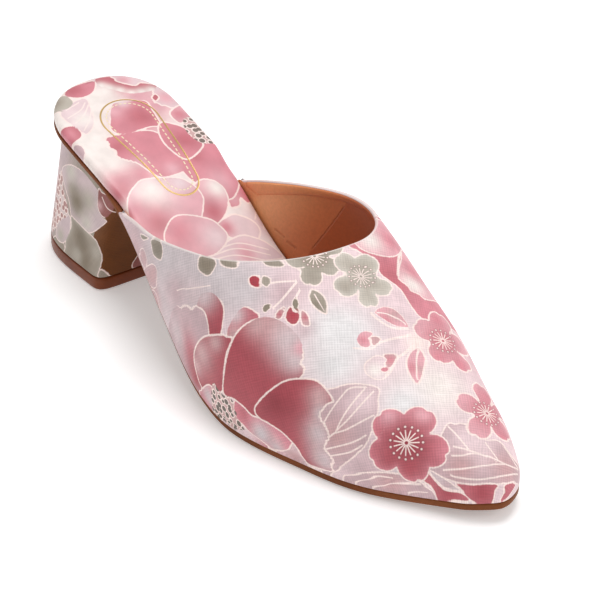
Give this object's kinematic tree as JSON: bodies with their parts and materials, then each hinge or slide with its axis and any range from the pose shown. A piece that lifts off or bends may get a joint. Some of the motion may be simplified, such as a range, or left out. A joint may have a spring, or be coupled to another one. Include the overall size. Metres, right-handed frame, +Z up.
{
  "type": "block heel mule",
  "caption": "Women's backless slip-on shoe with a pointed closed toe, a hollow printed upper, a padded insole and a covered block heel.",
  "frame": {"origin": "on the floor under the middle of the shoe's bounding box", "axes": "+X from heel to toe, +Y to the medial side, +Z up"},
  "size_m": [0.2474, 0.0822, 0.061],
  "materials": {
    "outsole_tan": "satin tan rubber with a cut edge",
    "heel_print": "woven cloth with a grey and rose floral print",
    "top_piece_brown": "satin brown rubber",
    "insole_print": "smooth printed cloth over a soft pad",
    "upper_print": "woven cloth with a rose, grey and ivory floral print"
  },
  "bodies": {
    "root": {"outsole": "outsole_tan", "heel_block": "heel_print", "heel_top_piece": "top_piece_brown", "insole": "insole_print", "upper": "upper_print"}
  },
  "joints": []
}
